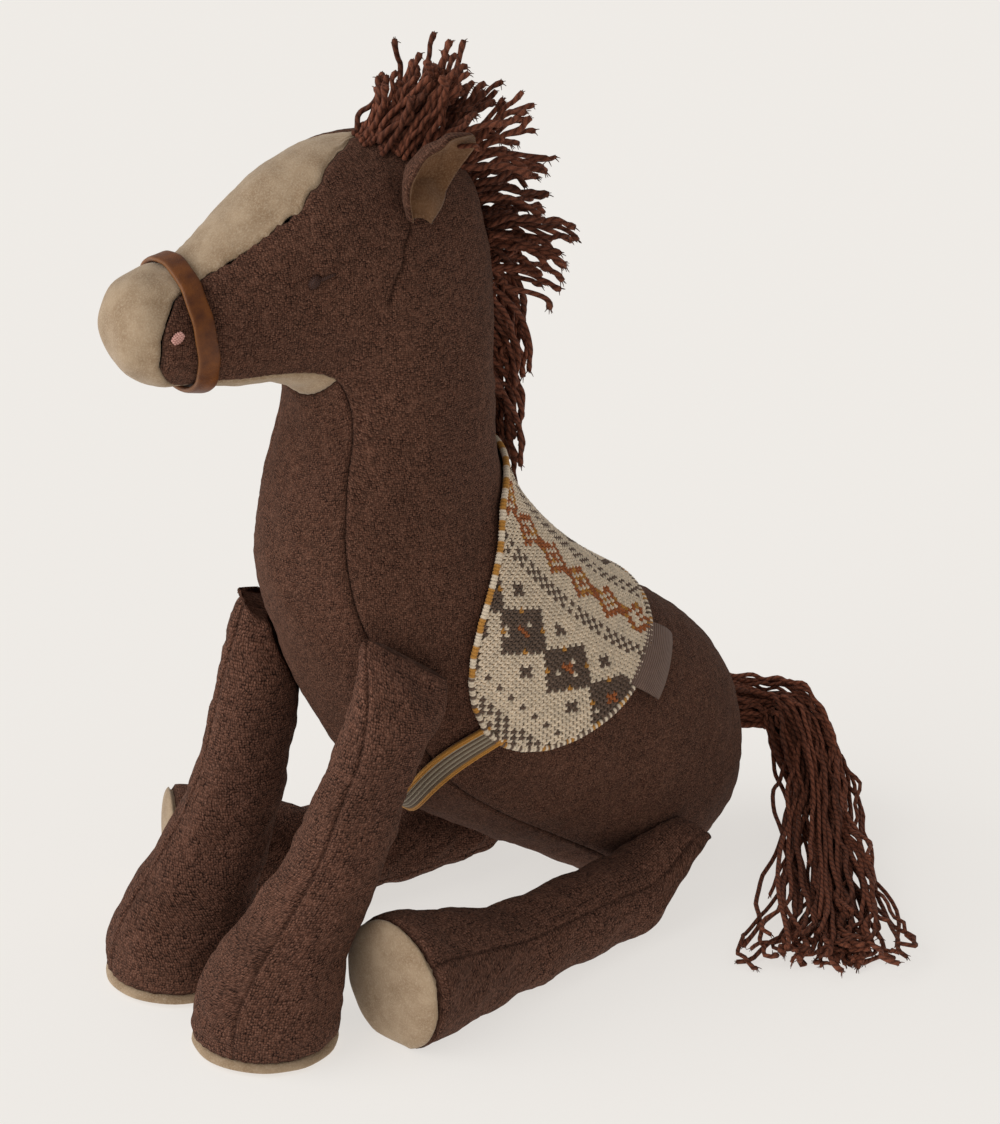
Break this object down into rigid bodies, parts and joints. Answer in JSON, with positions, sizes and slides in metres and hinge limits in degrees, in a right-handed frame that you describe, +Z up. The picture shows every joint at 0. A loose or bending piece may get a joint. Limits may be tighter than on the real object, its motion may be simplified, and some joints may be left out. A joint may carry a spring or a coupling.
{
  "type": "plush horse",
  "caption": "Sitting plush horse with hinged sewn legs, floppy ears, yarn mane and tail, leather noseband, and a knitted saddle blanket on an elastic girth.",
  "frame": {"origin": "on the flat of the seat, where the rump rests on the floor", "axes": "+Z up from the floor, -Y towards the horse's face, +X its left side"},
  "size_m": [0.177, 0.2359, 0.26],
  "materials": {
    "brown_wool": "matt knitted wool with a fine grain",
    "brown_tweed": "matt coarse-woven wool tweed",
    "beige_velour": "short-pile velour",
    "tan_leather": "smooth tan leather, slightly rounded edges",
    "ear_lining": "thin matt wool",
    "mane_yarn": "twisted wool yarn, about 2 mm thick strands",
    "patterned_knit": "stranded knit with geometric rows and an overlocked edge",
    "girth_elastic": "striped woven elastic",
    "woven_tab": "plain woven tape, blank",
    "pink_thread": "satin-stitched embroidery thread",
    "dark_thread": "embroidery thread",
    "polyester_filling": "loose white polyester fibre"
  },
  "bodies": {
    "torso": {"side_panel_left": "brown_wool", "side_panel_right": "brown_wool", "chest_and_belly_gusset": "brown_wool", "blaze_panel": "beige_velour", "chin_strip": "beige_velour", "muzzle_cap": "beige_velour", "head_filling": "polyester_filling", "neck_filling": "polyester_filling", "trunk_filling": "polyester_filling", "noseband": "tan_leather", "nostril_left": "pink_thread", "nostril_right": "pink_thread", "eye_left": "dark_thread", "eye_right": "dark_thread", "forelock": "mane_yarn", "mane": "mane_yarn"},
    "ear_left": {"ear_back_left": "brown_wool", "ear_lining_left": "ear_lining"},
    "ear_right": {"ear_back_right": "brown_wool", "ear_lining_right": "ear_lining"},
    "tail": {"tail": "mane_yarn"},
    "blanket": {"saddle_blanket": "patterned_knit", "label_tab": "woven_tab", "girth_elastic": "girth_elastic"},
    "front_leg_left": {"front_leg_left_skin": "brown_tweed", "front_leg_left_filling": "polyester_filling", "front_leg_left_sole": "beige_velour"},
    "front_leg_right": {"front_leg_right_skin": "brown_tweed", "front_leg_right_filling": "polyester_filling", "front_leg_right_sole": "beige_velour"},
    "hind_leg_left": {"hind_leg_left_skin": "brown_tweed", "hind_leg_left_filling": "polyester_filling", "hind_leg_left_sole": "beige_velour"},
    "hind_leg_right": {"hind_leg_right_skin": "brown_tweed", "hind_leg_right_filling": "polyester_filling", "hind_leg_right_sole": "beige_velour"}
  },
  "joints": [
    {"name": "front_leg_left_swing", "type": "hinge", "parent": "torso", "child": "front_leg_left", "pos_m": [0.033, -0.106, 0.106], "axis": [1, 0, 0], "range_deg": [-55, 0]},
    {"name": "front_leg_right_swing", "type": "hinge", "parent": "torso", "child": "front_leg_right", "pos_m": [-0.027, -0.106, 0.106], "axis": [1, 0, 0], "range_deg": [-55, 0]},
    {"name": "hind_leg_left_swing", "type": "hinge", "parent": "torso", "child": "hind_leg_left", "pos_m": [0.036, -0.005, 0.026], "axis": [1, 0, 0], "range_deg": [0, 80]},
    {"name": "hind_leg_right_swing", "type": "hinge", "parent": "torso", "child": "hind_leg_right", "pos_m": [-0.036, -0.005, 0.026], "axis": [1, 0, 0], "range_deg": [0, 80]},
    {"name": "ear_left_fold", "type": "hinge", "parent": "torso", "child": "ear_left", "pos_m": [0.02599, -0.09164, 0.22212], "axis": [-0.3026, 0.8906, -0.3396], "range_deg": [0, 30]},
    {"name": "ear_right_fold", "type": "hinge", "parent": "torso", "child": "ear_right", "pos_m": [-0.02637, -0.08194, 0.22211], "axis": [0.0514, -0.298, 0.9532], "range_deg": [0, 30]},
    {"name": "tail_swing", "type": "hinge", "parent": "torso", "child": "tail", "pos_m": [0, 0.04102, 0.04597], "axis": [0, 0, 1], "range_deg": [0, 60]},
    {"name": "blanket_shift", "type": "slide", "parent": "torso", "child": "blanket", "axis": [0, 0.6569, -0.7539], "range_m": [-0.0015, 0.002]}
  ]
}
